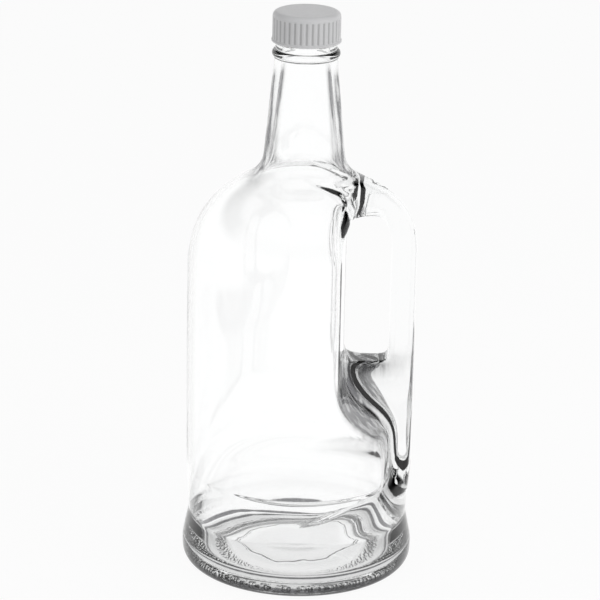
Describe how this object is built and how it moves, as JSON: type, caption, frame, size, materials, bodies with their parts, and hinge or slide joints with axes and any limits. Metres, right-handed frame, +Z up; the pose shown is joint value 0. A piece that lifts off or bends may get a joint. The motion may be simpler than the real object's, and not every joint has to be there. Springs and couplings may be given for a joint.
{
  "type": "glass jug",
  "caption": "Large clear glass water jug with an integral side handle, a finger hole, a narrow threaded neck and a ribbed white screw cap.",
  "frame": {"origin": "centre of the base, on the surface that the jug stands on", "axes": "+Z up along the jug's axis, out of its mouth; +X towards the handle; the XZ plane is the plane of symmetry"},
  "size_m": [0.144, 0.144, 0.3529],
  "materials": {
    "clear_glass": "clear flint glass, smooth and blown, with light mould waviness",
    "cap_plastic": "satin moulded polypropylene",
    "liner_foam": "closed-cell foam"
  },
  "bodies": {
    "jug": {"glass_jug": "clear_glass"},
    "liner": {"cap_liner": "liner_foam"},
    "cap": {"screw_cap": "cap_plastic"}
  },
  "joints": [
    {"name": "cap_lift", "type": "slide", "parent": "jug", "child": "liner", "axis": [0, 0, 1], "range_m": [0, 0.0192]},
    {"name": "cap_turn", "type": "hinge", "parent": "liner", "child": "cap", "pos_m": [0, 0, 0.343], "axis": [0, 0, 1], "range_deg": [0, 1620]}
  ],
  "couplings": [
    {"joint": "cap_lift", "follows": "cap_turn", "m_per_rad": 0.0006737}
  ]
}
